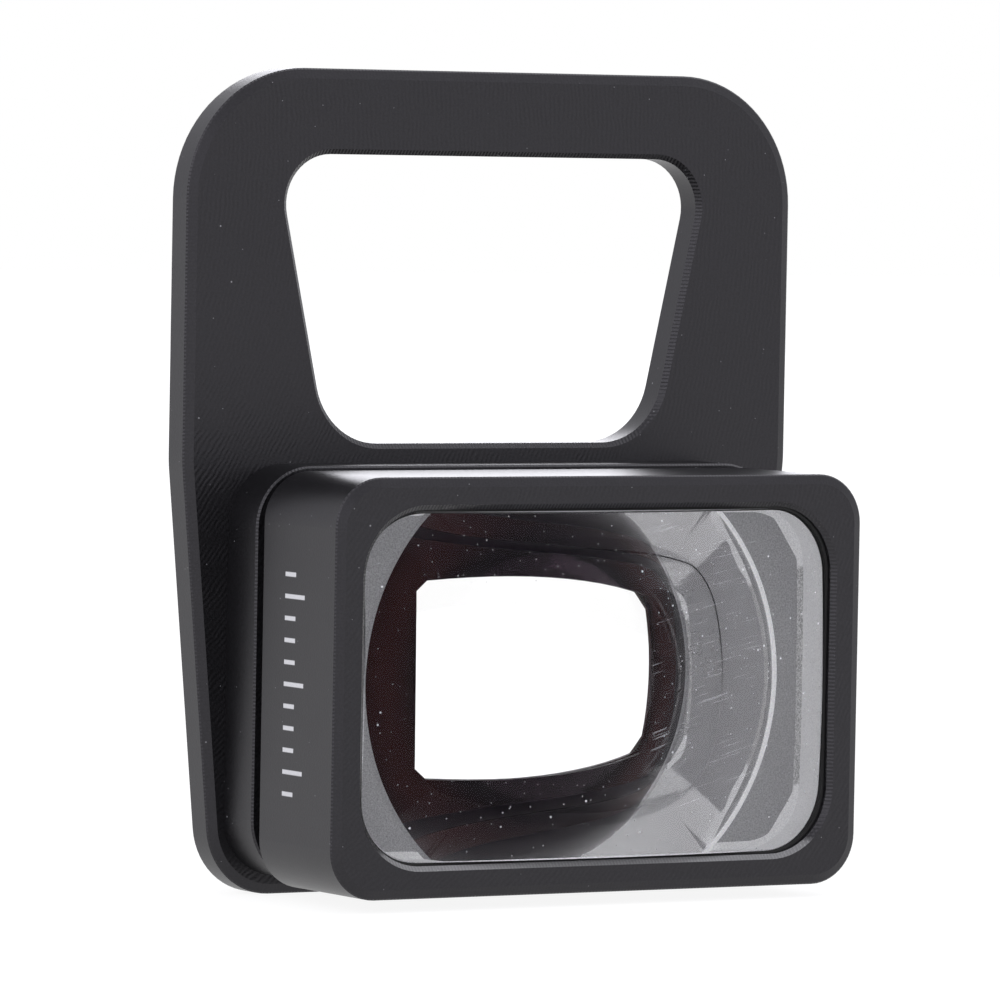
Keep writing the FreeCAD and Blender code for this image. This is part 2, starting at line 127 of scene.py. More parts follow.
class Finish:
    """The nodes of one material, or of the room round the object."""

    def __init__(self, owner, ending="OutputMaterial"):
        owner.use_nodes = True
        self.owner = owner
        self.ending = ending
        self.tree = owner.node_tree
        self.tree.nodes.clear()

    def node(self, kind, settings=None, sockets=None, output=0):
        """A node of that kind: first its settings, then the values or links of its sockets."""
        made = self.tree.nodes.new("ShaderNode" + kind)
        for key, value in (settings or {}).items():
            setattr(made, key, value)
        for key, value in (sockets or {}).items():
            if isinstance(value, Value):
                self.tree.links.new(value.socket, made.inputs[key])
            else:
                made.inputs[key].default_value = value
        return Value(self, made.outputs[output]) if made.outputs else None

    def parts(self, vector):
        """The three numbers of a vector."""
        return [self.node("SeparateXYZ", None, {0: vector}, axis) for axis in range(3)]

    def place(self):
        """The point on the object, in millimetres, as three numbers."""
        point = self.node("TexCoord", output="Object")
        return self.parts(self.node("VectorMath", {"operation": "SCALE"}, {"Vector": point, "Scale": 1 / MM}))

    def normal(self):
        """The face's own direction, as three numbers."""
        return self.parts(self.node("NewGeometry", output="True Normal"))

    def vector(self, x, y, z):
        return self.node("CombineXYZ", None, {0: x, 1: y, 2: z})

    def noise(self, place, scale, detail=3.0, roughness=0.55):
        """Cloudy noise from 0 to 1, with scale in cells a millimetre."""
        return self.node("TexNoise", None, {"Vector": self.vector(*place), "Scale": scale,
                                            "Detail": detail, "Roughness": roughness})

    def dots(self, place, scale, reach, core=0.4):
        """1 at scattered points and 0 from reach on, in millimetres, with scale in cells a millimetre."""
        distance = self.node("TexVoronoi", None, {"Vector": self.vector(*place), "Scale": scale})
        return distance.rise(reach * scale, reach * scale * core)

    def blend(self, share, first, second):
        """From the first colour to the second as share goes from 0 to 1."""
        return self.node("Mix", {"data_type": "RGBA"}, {0: share, 6: first, 7: second}, 2)

    def bump(self, height, strength, distance):
        """Normal for a height that is given in units of distance, itself in millimetres."""
        return self.node("Bump", None, {"Height": height, "Strength": strength, "Distance": distance * MM})

    def principled(self, **sockets):
        named = {key.replace("_", " ").title().replace("Ior", "IOR"): value for key, value in sockets.items()}
        return self.node("BsdfPrincipled", None, named)

    def mix(self, share, first, second):
        """From the first shader to the second as share goes from 0 to 1."""
        return self.node("MixShader", None, {0: share, 1: first, 2: second})

    def finished(self, shader):
        """Ends the nodes in that shader, and gives back the material or the room."""
        self.node(self.ending, None, {"Surface": shader})
        return self.owner


def new_finish(name):
    return Finish(bpy.data.materials.new(name))


def rgb(red, green, blue):
    return (red, green, blue, 1.0)


def shade(level, parts):
    """Colour from a grey level and the parts of it that red, green and blue have."""
    return rgb(*[level * part for part in parts])


WHITE = rgb(1.0, 1.0, 1.0)

# Below, a grain is a noise's scale, or its scale and detail. Specks, dust, pits and pores are their scale and
# reach. A relief is a bump's strength and depth. Other pairs and fours are the limits of a rise.

# Chatter that the cutter leaves along chamfers
TICK_PITCH = 0.19
CHAMFER_FROM = (0.2, 0.35)
CHAMFER_TO = (0.9, 0.97)
TICKS_FACE = (0.3, 0.6)


def chamfer_ticks(place, facing):
    """Chatter marks along milled chamfers, and a mask that is 1 on chamfers only."""
    x, _, z = place
    sideways, forward, upward = [part.size() for part in facing]
    on_chamfer = forward.rise(*CHAMFER_FROM) * (1 - forward.rise(*CHAMFER_TO))
    level_run = (x * (TAU / TICK_PITCH)).sine() * upward.rise(*TICKS_FACE)
    upright_run = (z * (TAU / TICK_PITCH)).sine() * sideways.rise(*TICKS_FACE)
    return (level_run + upright_run) * on_chamfer, on_chamfer


# Ripples in arcs round the middle of the cutter's path, left of the plate
CUTTER_X = -42.0
CUTTER_Z = 38.0
RIPPLE_PITCH = 0.26
WANDER_SCALE = 0.6
WANDER = 14.0
PATCH_SCALE = 1.1
PATCH_X = 0.5
PATCH_Z = 1.4
PATCHY = (0.35, 0.65, 0.2, 1.0)
FLAT_FACE = (0.97, 0.99)


def tool_ripples(finish, place, facing):
    """Patchy arcs that a turning cutter leaves on the faces that look forward or back."""
    x, y, z = place
    arc = ((x - CUTTER_X) ** 2 + (z - CUTTER_Z) ** 2).root()
    wander = finish.noise(place, WANDER_SCALE)
    patchy = finish.noise((x * PATCH_X, y, z * PATCH_Z), PATCH_SCALE).rise(*PATCHY)
    arcs = (arc * (TAU / RIPPLE_PITCH) + wander * WANDER).sine() * patchy
    return arcs * facing[Y].size().rise(*FLAT_FACE)


# Gauge strokes on the left side of the box, every fourth one longer
MARK_PITCH = 1.1
MARK_EVERY = 4
MARK_HALF_STROKE = 0.11
MARK_REAR = GROOVE_Y - 2.3
MARK_SHORT = 1.1
MARK_LONG = 2.0
MARK_HALF_ROW = 6.03
MARK_FADE = 0.03
MARK_ROW_FADE = 0.02
FACES_LEFT = (-0.9, -0.95)

# Edges of a stroke and of the stretch round every fourth one, as shares of a stroke's half width
STROKE_EDGE = [MARK_HALF_STROKE / MARK_PITCH * share for share in (1.25, 0.75)]
LONG_EDGE = [MARK_HALF_STROKE / MARK_PITCH * share for share in (0.5, 0.4)]


def gauge_marks(place, facing):
    """1 on the short white strokes printed on the left side of the box."""
    _, y, z = place
    turn = (z - AXIS_Z) * (1 / MARK_PITCH)
    on_stroke = turn.from_whole().rise(*STROKE_EDGE)
    reach = (turn * (1 / MARK_EVERY)).from_whole().rise(*LONG_EDGE, MARK_SHORT, MARK_LONG)
    behind = MARK_REAR - y
    along = behind.rise(0.0, MARK_FADE) * (reach - behind).rise(0.0, MARK_FADE)
    in_row = z.within(AXIS_Z - MARK_HALF_ROW, AXIS_Z + MARK_HALF_ROW, MARK_ROW_FADE)
    return on_stroke * along * in_row * facing[X].rise(*FACES_LEFT)


# Wear: a little on every tick. Painted light: more pale on the chamfer under the front glass, standing for
# the light it catches, and most on its ticks
TICK_SCALE = 0.5
TICK_TOPS = (0.2, 1.0)
TICK_WEAR = 0.025
SILL_PAINTED_LIGHT = 0.14
FACES_UP = (0.4, 0.6)
SILL_HEIGHT = (AXIS_Z - 8.0, AXIS_Z - 8.4)
SILL_FRONT = (-7.6, -7.7)


def worn_ticks_and_painted_sill_light(place, facing, ticks, on_chamfer):
    """Share of pale that shows through the black: worn bare metal on every tick, and painted light on the
    chamfer under the front glass.
    """
    _, y, z = place
    # The sill is the chamfer under the front glass, where the painted light goes
    sill = facing[Z].rise(*FACES_UP) * z.rise(*SILL_HEIGHT) * y.rise(*SILL_FRONT)
    on_ticks = (ticks * TICK_SCALE).rise(*TICK_TOPS) * (TICK_WEAR + sill * SILL_PAINTED_LIGHT)
    return (on_ticks + sill * SILL_PAINTED_LIGHT) * on_chamfer


# Black anodised surface
BLACK_FINE = (10.0, 5.0)
BLACK_CLOUD = 0.5
BLACK_RELIEF = (1.0, 0.006)
RIPPLE_HEIGHT = 0.7
FINE_HEIGHT = 1.3
FINE_GRAIN = (0.35, 0.65)
FINE_SHARE = 0.6
CLOUD_SHARE = 0.2
RIPPLE_SHARE = 0.25
LARGE_SPECKS = (0.5, 0.06)
SMALL_SPECKS = (1.3, 0.035)
BLACK_HOLLOWS = rgb(0.0004, 0.0004, 0.0005)
BLACK_TOPS = rgb(0.0072, 0.007, 0.008)
SPECK_GREY = rgb(0.2, 0.2, 0.21)
MARK_WHITE = rgb(0.5, 0.5, 0.51)
BLACK_ROUGH = 0.31
BLACK_ROUGH_FINE = 0.06
BLACK_ROUGH_CLOUD = 0.04
BLACK_IOR = 1.47
BLACK_SHEEN = rgb(0.96, 0.93, 1.0)


def black_anodised():
    """Milled aluminium, anodised black: satin, with ripples, chatter, a little wear, dust, and painted light
    on the chamfer under the front glass.
    """
    finish = new_finish("black_anodised")
    place = finish.place()
    facing = finish.normal()
    ticks, on_chamfer = chamfer_ticks(place, facing)
    ripples = tool_ripples(finish, place, facing)
    fine = finish.noise(place, *BLACK_FINE)
    cloud = finish.noise(place, BLACK_CLOUD)

    grain = fine.rise(*FINE_GRAIN) * FINE_SHARE + cloud * CLOUD_SHARE + ripples * RIPPLE_SHARE
    black = finish.blend(grain.highest(0.0).lowest(1.0), BLACK_HOLLOWS, BLACK_TOPS)
    # Worn ticks, and painted light on the chamfer under the front glass
    worn_and_painted_light = finish.blend(worn_ticks_and_painted_sill_light(place, facing, ticks, on_chamfer), black, WHITE)
    specks = finish.dots(place, *SMALL_SPECKS) + finish.dots(place, *LARGE_SPECKS)
    dusty = finish.blend(specks.lowest(1.0), worn_and_painted_light, SPECK_GREY)
    colour = finish.blend(gauge_marks(place, facing), dusty, MARK_WHITE)

    height = ripples * RIPPLE_HEIGHT + ticks + fine * FINE_HEIGHT
    bump = finish.bump(height, *BLACK_RELIEF)
    rough = BLACK_ROUGH + fine * BLACK_ROUGH_FINE + cloud * BLACK_ROUGH_CLOUD
    return finish.finished(finish.principled(base_color=colour, roughness=rough, normal=bump,
                                             ior=BLACK_IOR, specular_tint=BLACK_SHEEN))


# Matt blackening inside the box
BROWN_REACH = (8.0, 11.0)
INSIDE_NEUTRAL = rgb(0.006, 0.0055, 0.0055)
INSIDE_BROWN = rgb(0.032, 0.008, 0.007)
INSIDE_GRAIN = 14.0
INSIDE_RELIEF = (0.3, 0.01)


def inside_black():
    """Matt blackening: neutral near the optical axis, and brown further out."""
    finish = new_finish("inside_black")
    x, y, z = finish.place()
    reach = (x ** 2 + (z - AXIS_Z) ** 2).root()
    colour = finish.blend(reach.rise(*BROWN_REACH), INSIDE_NEUTRAL, INSIDE_BROWN)
    bump = finish.bump(finish.noise((x, y, z), INSIDE_GRAIN), *INSIDE_RELIEF)
    return finish.finished(finish.principled(base_color=colour, roughness=0.6, normal=bump,
                                             specular_ior_level=0.12))


# Coatings of the polished faces, as the tint of their faint reflection, and the glasses under them
FRONT_TINT = rgb(0.045, 0.035, 0.05)
HOLLOW_TINT = rgb(0.10, 0.05, 0.09)
REAR_TINT = rgb(0.2, 0.25, 0.2)
FRONT_IOR = 1.70
REAR_IOR = 1.52


def coated(finish, tint, ior):
    """Clear polished glass under a coating."""
    return finish.principled(base_color=WHITE, roughness=0.0, transmission_weight=1.0, ior=ior,
                             specular_tint=tint)


def hollow_coat():
    finish = new_finish("hollow_coat")
    return finish.finished(coated(finish, HOLLOW_TINT, FRONT_IOR))


def rear_coat():
    finish = new_finish("rear_coat")
    return finish.finished(coated(finish, REAR_TINT, REAR_IOR))


# Dust and wiping scratches on the front of the glass, and the middle that is wiped clean
WIPED_X = (-11.2, 2.4)
WIPED_Z = (6.8, 16.2)
WIPED_FADE = 0.5
LARGE_DUST = (1.0, 0.08)
SMALL_DUST = (2.4, 0.055)
SMALL_DUST_SHARE = 0.5
SCRATCH_X = 0.92
SCRATCH_Z = 0.38
SCRATCH_BEND = 0.008
SCRATCH_LENGTHWISE = 0.25
SCRATCH_CROSSWISE = 9.0
SCRATCH_GRAIN = (1.0, 2.0)
SCRATCH_THIN = (0.6, 0.7)
SCRATCH_SHARE = 0.3
SCRATCH_PATCH = 0.4
SCRATCH_PATCHY = (0.38, 0.55)
SCRATCH_FROM = (0.5, 2.5)
SCRATCH_TO = (11.0, 7.0)
DUST_MOST = 0.9
DUST_GREY = rgb(0.6, 0.6, 0.62)


def wiping_scratches(finish, place):
    """Fine bowed lines in patches, right of the middle of the glass."""
    x, _, z = place
    along = x * SCRATCH_X + z * SCRATCH_Z
    across = z * SCRATCH_X - x * SCRATCH_Z + along ** 2 * SCRATCH_BEND
    lines = finish.noise((along * SCRATCH_LENGTHWISE, across * SCRATCH_CROSSWISE, 0.0), *SCRATCH_GRAIN)
    patch = finish.noise(place, SCRATCH_PATCH).rise(*SCRATCH_PATCHY)
    patch = patch * x.rise(*SCRATCH_FROM) * x.rise(*SCRATCH_TO)
    return lines.rise(*SCRATCH_THIN) * patch * SCRATCH_SHARE


def front_coat():
    """Coated front of the front glass, dusty round its wiped middle."""
    finish = new_finish("front_coat")
    place = finish.place()
    wiped = place[X].within(*WIPED_X, WIPED_FADE) * place[Z].within(*WIPED_Z, WIPED_FADE)
    dust = finish.dots(place, *LARGE_DUST) + finish.dots(place, *SMALL_DUST) * SMALL_DUST_SHARE
    share = ((dust + wiping_scratches(finish, place)) * (1 - wiped)).lowest(DUST_MOST)
    grey = finish.node("BsdfDiffuse", None, {"Color": DUST_GREY})
    return finish.finished(finish.mix(share, coated(finish, FRONT_TINT, FRONT_IOR), grey))


# Ground glass: its grit and pits
GRIT = (13.0, 4.0)
GRIT_RISE = (0.3, 0.7)
GRIT_SHARE = 0.8
PITS = (5.0, 0.04)
PIT_SHARE = 0.5
GROUND_ROUGH = 0.9
GROUND_DARK = (1.0, 1.0, 1.04)
GROUND_BLUE = 1.03
PALEST = 0.97
PALEST_BLUE = 0.98


def ground_skin(finish, level, glow=0.0, contrast=0.3):
    """Glass ground to an even grey that still shows its grit; glow is painted light, an emission that stands
    for the light held in its skin.
    """
    place = finish.place()
    grit = finish.noise(place, *GRIT).rise(*GRIT_RISE)
    share = (grit * GRIT_SHARE + finish.dots(place, *PITS) * PIT_SHARE).lowest(1.0)
    high = min(level * (1 + contrast), PALEST)
    pale = rgb(high, high, min(high * GROUND_BLUE, PALEST_BLUE))
    colour = finish.blend(share, shade(level * (1 - contrast), GROUND_DARK), pale)
    # Painted light: the emission makes the skin glow in its own colour, as strong as glow
    return finish.principled(base_color=colour, roughness=GROUND_ROUGH, emission_color=colour,
                             emission_strength=glow)


# Ground faces, each as its level, or its level, glow and contrast as far as it has them. The glows are
# painted light, and so are the paler levels of the sides, the bevel's corners, the bottom of the front edge
# and the right of the rim
LAND_LEVEL = 0.44
SIDE_SQUARE_ON = 0.62
SIDE_PALE_PAINTED_GLOW = (0.95, 0.14)
BEVEL_COARSE_PAINTED_GLOW = (0.72, 0.04, 0.6)
EDGE_TOP = (0.03, 0.0)
EDGE_BOTTOM_PAINTED_LIGHT = (0.7, 0.1)
RING_LEFT = (0.4, 0.0)
RING_RIGHT_PAINTED_LIGHT = (0.96, 0.22)

# Where the ground faces change, and so where their painted light starts and ends, and the share of that
# painted light that the sealing bead takes from the sides
SIDE_ANGLE = (0.3, 0.6)
LEVEL_SIDE = (0.92, 0.94)
BEVEL_CORNER = (5.3, 5.6)
EDGE_TURN = (AXIS_Z + 4.0, AXIS_Z - 4.0)
RING_TURN = (-3.0, 3.0)
SIDE_FRONT_Y = -7.53
BEAD_END = (SIDE_FRONT_Y + 0.45, SIDE_FRONT_Y + 0.35)
BEAD_SHARE = 0.6


def ground_land():
    finish = new_finish("ground_land")
    return finish.finished(ground_skin(finish, LAND_LEVEL))


def ground_sides():
    """Ground sides: grey where seen square on; whiter at a flat angle as a painted sheen, and on the top and
    bottom as painted light, both with a painted glow.
    """
    finish = new_finish("ground_sides")
    painted_sheen_share = finish.node("LayerWeight", None, {"Blend": 0.5}, "Facing").rise(*SIDE_ANGLE)
    painted_top_bottom_share = finish.normal()[Z].size().rise(*LEVEL_SIDE)
    bead = finish.place()[Y].rise(*BEAD_END)
    # Painted sheen at a flat angle and painted light on the top and bottom, less near the sealing bead
    share = painted_sheen_share.highest(painted_top_bottom_share) * (1 - bead * BEAD_SHARE)
    square_on = ground_skin(finish, SIDE_SQUARE_ON)
    painted_sheen_and_glow = ground_skin(finish, *SIDE_PALE_PAINTED_GLOW)
    return finish.finished(finish.mix(share, square_on, painted_sheen_and_glow))


def ground_bevel():
    """Coarse narrow bevel along the straight sides, and the fine cut of the corners, paler; both glow with
    painted light.
    """
    finish = new_finish("ground_bevel")
    height = (finish.place()[Z] - AXIS_Z).size()
    coarse = ground_skin(finish, *BEVEL_COARSE_PAINTED_GLOW)
    fine = ground_skin(finish, *SIDE_PALE_PAINTED_GLOW)
    return finish.finished(finish.mix(height.rise(*BEVEL_CORNER), coarse, fine))


def ground_band_with_painted_light(name, axis, turn, first, second):
    """Narrow ground band that goes from one level and glow to another along an axis; the paler, glowing end
    is painted light.
    """
    finish = new_finish(name)
    share = finish.place()[axis].rise(*turn)
    return finish.finished(finish.mix(share, ground_skin(finish, *first), ground_skin(finish, *second)))


# Rubber, plastic, steel and foam of the smaller pieces
RUBBER_DARK = (0.8, 0.8, 0.8)
RUBBER_PALE = (1.2, 1.2, 1.22)
RUBBER_GRAIN = 9.0
RUBBER_RELIEF = (0.4, 0.02)


def rubber(name, level):
    finish = new_finish(name)
    grain = finish.noise(finish.place(), RUBBER_GRAIN)
    colour = finish.blend(grain, shade(level, RUBBER_DARK), shade(level, RUBBER_PALE))
    bump = finish.bump(grain, *RUBBER_RELIEF)
    return finish.finished(finish.principled(base_color=colour, roughness=0.7, normal=bump))


PLASTIC_DARK = rgb(0.016, 0.016, 0.018)
PLASTIC_PALE = rgb(0.022, 0.022, 0.024)
PLASTIC_GRAIN = (11.0, 2.0)
PLASTIC_CLOUD = 0.7
PLASTIC_RELIEF = (0.35, 0.012)
PLASTIC_ROUGH = 0.46
PLASTIC_ROUGH_GRAIN = 0.1


def moulded_plastic():
    finish = new_finish("moulded_plastic")
    place = finish.place()
    grain = finish.noise(place, *PLASTIC_GRAIN)
    colour = finish.blend(finish.noise(place, PLASTIC_CLOUD), PLASTIC_DARK, PLASTIC_PALE)
    bump = finish.bump(grain, *PLASTIC_RELIEF)
    rough = PLASTIC_ROUGH + grain * PLASTIC_ROUGH_GRAIN
    return finish.finished(finish.principled(base_color=colour, roughness=rough, normal=bump))


STEEL_DARK = (0.85, 0.85, 0.87)
STEEL_PALE = (1.0, 1.0, 1.02)
STEEL_ACROSS = 14.0
STEEL_ALONG = 0.8
STEEL_GRAIN = 1.0
STEEL_RELIEF = (0.2, 0.006)
STEEL_ROUGH_LINES = 0.12


def rolled_steel(name, level, rough_level):
    """Drawn strip or turned screw steel, brushed along its length."""
    finish = new_finish(name)
    x, y, z = finish.place()
    lines = finish.noise((x * STEEL_ACROSS, y * STEEL_ACROSS, z * STEEL_ALONG), STEEL_GRAIN)
    colour = finish.blend(lines, shade(level, STEEL_DARK), shade(level, STEEL_PALE))
    bump = finish.bump(lines, *STEEL_RELIEF)
    rough = rough_level + lines * STEEL_ROUGH_LINES
    return finish.finished(finish.principled(base_color=colour, metallic=1.0, roughness=rough, normal=bump))


FOAM_GREY = rgb(0.03, 0.03, 0.033)
FOAM_PORE = rgb(0.012, 0.012, 0.013)
FOAM_PORES = (5.0, 0.06)
FOAM_PORE_DEPTH = 0.6
FOAM_GRAIN = 6.0
FOAM_RELIEF = (0.5, 0.05)


def foam():
    """Soft closed-cell strip with fine pores."""
    finish = new_finish("foam")
    place = finish.place()
    pores = finish.dots(place, *FOAM_PORES)
    colour = finish.blend(pores, FOAM_GREY, FOAM_PORE)
    bump = finish.bump(finish.noise(place, FOAM_GRAIN) - pores * FOAM_PORE_DEPTH, *FOAM_RELIEF)
    return finish.finished(finish.principled(base_color=colour, roughness=0.85, normal=bump))


# Glass outlines as half width, half height and corner radius, a hair clear of what the glasses touch
HAIR = 0.02
FRONT_OUTLINE = [size - HAIR for size in (13.65, 8.775, 3.275)]
REAR_OUTLINE = [size - HAIR for size in (10.45, 7.15, 2.45)]

# Least divisor, halvings in the search for a crossing, and rounding and least gap of the outline's angles
TINY = 1e-9
CROSSING_ROUNDS = 50
ANGLE_DIGITS = 6
CLOSEST_ANGLE = 0.004


def rounded_reach(angle, outline):
    """Distance from the middle of a rounded rectangle to its outline, in the direction angle."""
    half_width, half_height, corner = outline
    dx = abs(math.cos(angle))
    dz = abs(math.sin(angle))
    reach = min(half_width / max(dx, TINY), half_height / max(dz, TINY))
    cx = half_width - corner
    cz = half_height - corner
    if dx * reach > cx and dz * reach > cz:
        along = dx * cx + dz * cz
        reach = along + math.sqrt(along * along - cx * cx - cz * cz + corner * corner)
    return reach


def crossing(outline, reach, start, end):
    """Angles between start and end, one or none, where the outline is at that reach."""
    def past(angle):
        return rounded_reach(angle, outline) - reach

    if past(start) * past(end) >= 0:
        return []
    for _ in range(CROSSING_ROUNDS):
        middle = (start + end) / 2
        if past(start) * past(middle) > 0:
            start = middle
        else:
            end = middle
    return [(start + end) / 2]


def outline_angles(outline, reaches, steps):
    """Even steps round the outline, with the exact angles of its corners and its crossings with circles."""
    half_width, half_height, corner = outline
    low = math.atan2(half_height - corner, half_width)
    middle = math.atan2(half_height - corner, half_width - corner)
    high = math.atan2(half_height, half_width - corner)
    keys = [low, high]
    for reach in reaches:
        for start, end in ((0.0, low), (low, middle), (middle, high), (high, math.pi / 2)):
            keys += crossing(outline, reach, start, end)
    angles = {round(TAU * step / steps, ANGLE_DIGITS) for step in range(steps)}
    for key in keys:
        mirrored = (key, math.pi - key, math.pi + key, TAU - key)
        angles = {angle for angle in angles if all(abs(angle - exact) > CLOSEST_ANGLE for exact in mirrored)}
        angles.update(mirrored)
    return sorted(angles)


def added(name, data):
    """A new object in the scene."""
    made = bpy.data.objects.new(name, data)
    bpy.context.scene.collection.objects.link(made)
    return made


def turned(shape, angle, points):
    """Points of one zone, given as radius and depth, turned to that angle about the optical axis."""
    return [shape.verts.new((radius * math.cos(angle) * MM, depth * MM,
                             (AXIS_Z + radius * math.sin(angle)) * MM)) for radius, depth in points]


# Limits for cleaning a turned mesh, in metres and radians
MERGE = 1e-8
SHARP_ANGLE = 0.3


def turned_glass(name, angles, profile, finishes):
    """Mesh from the zones that profile gives at each angle, closed at both ends on the axis.

    A zone is the name of its finish and its (radius, depth) points, from front to back.
    """
    shape = bmesh.new()
    profiles = [profile(angle) for angle in angles]
    columns = [[turned(shape, angle, points) for _, points in zones]
               for angle, zones in zip(angles, profiles)]
    slots = [list(finishes).index(finish) for finish, _ in profiles[0]]
    for here, there in zip(columns, columns[1:] + columns[:1]):
        for slot, left, right in zip(slots, here, there):
            for corners in zip(left, left[1:], right[1:], right):
                face = shape.faces.new(corners)
                face.material_index = slot
                face.smooth = True
    bmesh.ops.remove_doubles(shape, verts=shape.verts, dist=MERGE)
    bmesh.ops.dissolve_degenerate(shape, edges=shape.edges, dist=MERGE)
    bmesh.ops.recalc_face_normals(shape, faces=shape.faces)
    for edge in shape.edges:
        if len(edge.link_faces) == 2 and edge.calc_face_angle(0.0) > SHARP_ANGLE:
            edge.smooth = False
    mesh = bpy.data.meshes.new(name)
    shape.to_mesh(mesh)
    shape.free()
    for finish in finishes.values():
        mesh.materials.append(finish)
    return added(name, mesh)


def evenly(first, last, count):
    return [first + (last - first) * step / count for step in range(count + 1)]


def bowl_depth(radius, rise):
    """How far a sphere's surface has left its vertex along the axis, at a distance rise from the axis."""
    return radius - math.sqrt(radius * radius - rise * rise)


# Front glass: faintly convex front, hollow in the back with a ground ring round its rim, cut rear corners
LAND_Y = SEAT_Y - HAIR
FRONT_RADIUS = 76.0
HOLLOW_RADIUS = 16.4
RIM_RADIUS = 11.6
RIM_RING = 0.24
FRONT_BEVEL = 0.08
SIDE_TAPER = 0.26
REAR_BEVEL = 0.3
CORNER_CUT = 14.1
CORNER_CUT_ANGLE = math.radians(34)
HOLLOW_VERTEX_Y = LAND_Y - bowl_depth(HOLLOW_RADIUS, RIM_RADIUS)
FRONT_ROWS = 20
SIDE_ROWS = 4
LAND_ROWS = 3
HOLLOW_ROWS = 56
FRONT_STEPS = 360


def land_reach(angle):
    """Outline of the rear land: the glass's outline less its bevel, with the four corners cut straight."""
    inset = SIDE_TAPER + REAR_BEVEL
    bevelled = rounded_reach(angle, [size - inset for size in FRONT_OUTLINE])
    quadrant_angle = math.atan2(abs(math.sin(angle)), abs(math.cos(angle)))
    return min(bevelled, CORNER_CUT / math.cos(quadrant_angle - CORNER_CUT_ANGLE))


def front_glass_profile(angle):
    """Zones from the front vertex round the side to the hollow's vertex."""
    outer = rounded_reach(angle, FRONT_OUTLINE)
    ring_out = min(RIM_RADIUS + RIM_RING, outer)
    ring_in = min(RIM_RADIUS, outer)
    ring_in_y = HOLLOW_VERTEX_Y + bowl_depth(HOLLOW_RADIUS, ring_in)
    land_out = min(outer, max(ring_out, land_reach(angle)))
    side_rear = max(land_out, outer - SIDE_TAPER)
    side_rear_y = LAND_Y - (side_rear - land_out)
    land_y = LAND_Y

    # Above and below, the hollow runs out through the side, and there is no land
    if ring_out == outer:
        side_rear = outer
        side_rear_y = ring_in_y
        land_y = ring_in_y

    front = [(r, FRONT_VERTEX_Y + bowl_depth(FRONT_RADIUS, r))
             for r in evenly(0.0, outer - FRONT_BEVEL, FRONT_ROWS)]
    side_front_y = front[-1][1] + FRONT_BEVEL
    edge = [front[-1], (outer, side_front_y)]
    side = list(zip(evenly(outer, side_rear, SIDE_ROWS), evenly(side_front_y, side_rear_y, SIDE_ROWS)))
    bevel = [(side_rear, side_rear_y), (land_out, land_y)]
    land = [(r, land_y) for r in evenly(land_out, ring_out, LAND_ROWS)]
    ring = [(ring_out, land_y), (ring_in, ring_in_y)]
    hollow = [(r, HOLLOW_VERTEX_Y + bowl_depth(HOLLOW_RADIUS, r)) for r in evenly(ring_in, 0.0, HOLLOW_ROWS)]
    return [("front", front), ("edge", edge), ("side", side), ("bevel", bevel), ("land", land),
            ("ring", ring), ("hollow", hollow)]


# Rear glass: flat front and convex back
REAR_RADIUS = 30.0
REAR_FLAT_ROWS = 6
REAR_BACK_ROWS = 30
REAR_STEPS = 240


def rear_glass_profile(angle):
    """Zones from the middle of the flat front to the back vertex."""
    outer = rounded_reach(angle, REAR_OUTLINE)
    flat_y = REAR_FLAT_Y + HAIR
    edge_y = max(flat_y, REAR_VERTEX_Y - bowl_depth(REAR_RADIUS, outer))
    front = [(r, flat_y) for r in evenly(0.0, outer, REAR_FLAT_ROWS)]
    side = [(outer, flat_y), (outer, edge_y)]
    back = [(r, REAR_VERTEX_Y - bowl_depth(REAR_RADIUS, r)) for r in evenly(outer, 0.0, REAR_BACK_ROWS)]
    return [("polished", front), ("ground", side), ("polished", back)]


def make_glasses():
    land = ground_land()
    front_finishes = {
        "front": front_coat(),
        "hollow": hollow_coat(),
        "land": land,
        "bevel": ground_bevel(),
        "side": ground_sides(),
        # Front edge: darker at the top, and painted light with a painted glow at the bottom
        "edge": ground_band_with_painted_light("ground_front_edge", Z, EDGE_TURN, EDGE_TOP, EDGE_BOTTOM_PAINTED_LIGHT),
        # Rim ring: painted light with a painted glow on its right
        "ring": ground_band_with_painted_light("ground_rim", X, RING_TURN, RING_LEFT, RING_RIGHT_PAINTED_LIGHT),
    }
    angles = outline_angles(FRONT_OUTLINE, [RIM_RADIUS, RIM_RADIUS + RIM_RING], FRONT_STEPS)
    front = turned_glass("front_glass", angles, front_glass_profile, front_finishes)
    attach(front, "root")
    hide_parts("front_lens")

    rear_finishes = {"polished": rear_coat(), "ground": land}
    angles = outline_angles(REAR_OUTLINE, [], REAR_STEPS)
    rear = turned_glass("rear_glass", angles, rear_glass_profile, rear_finishes)
    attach(rear, "root")
    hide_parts("rear_lens")


# Carried-over nodes, and the slight round that tumbling and anodising leave on milled edges
EDGE_ROUND = 0.045
EDGE_ROUND_SEGMENTS = 2
EDGE_ROUND_ANGLE = math.radians(35)
MILLED_NODES = ("mount_plate", "lens_housing")


